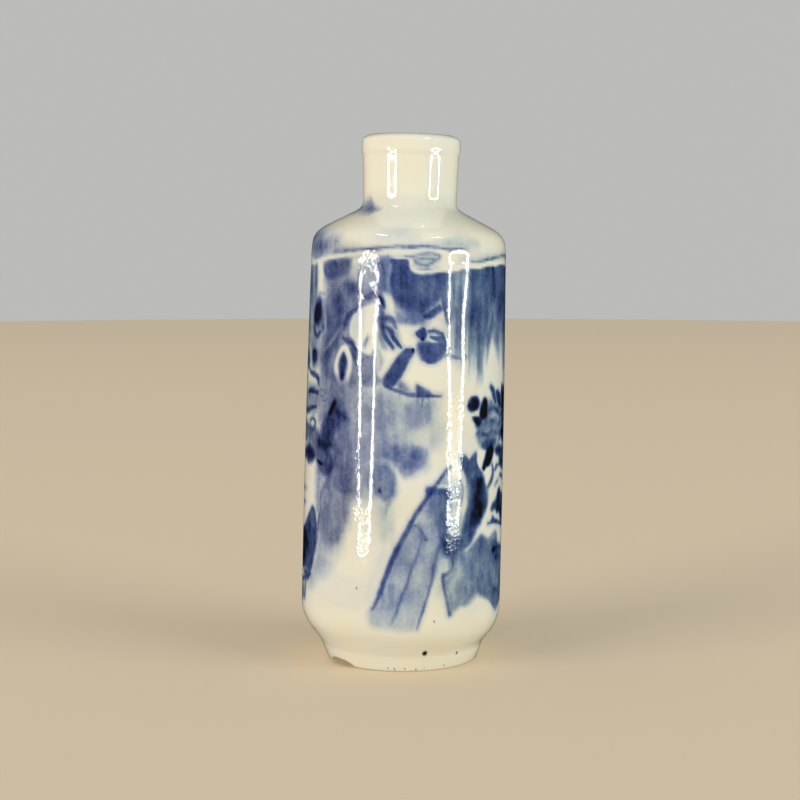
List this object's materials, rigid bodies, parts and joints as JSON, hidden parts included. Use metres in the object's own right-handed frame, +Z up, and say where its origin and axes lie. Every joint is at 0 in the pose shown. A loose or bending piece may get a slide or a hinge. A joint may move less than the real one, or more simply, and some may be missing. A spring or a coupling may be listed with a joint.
{
  "type": "snuff bottle",
  "caption": "Hollow cylindrical porcelain snuff bottle with sloping shoulder, short neck and chamfered foot, open at the mouth, painted in underglaze blue with a figure in a landscape.",
  "frame": {"origin": "middle of the underside of the bounding box, on the surface that the bottle stands on", "axes": "+Z up, along the height; the painted front faces -Y; the bottle leans 1.3 degrees towards +X"},
  "size_m": [0.0296, 0.029, 0.0758],
  "materials": {
    "glazed_porcelain": "glossy clear glaze over a cobalt blue underglaze painting; standing ring bare and slightly worn"
  },
  "bodies": {
    "root": {"bottle": "glazed_porcelain"}
  },
  "joints": []
}
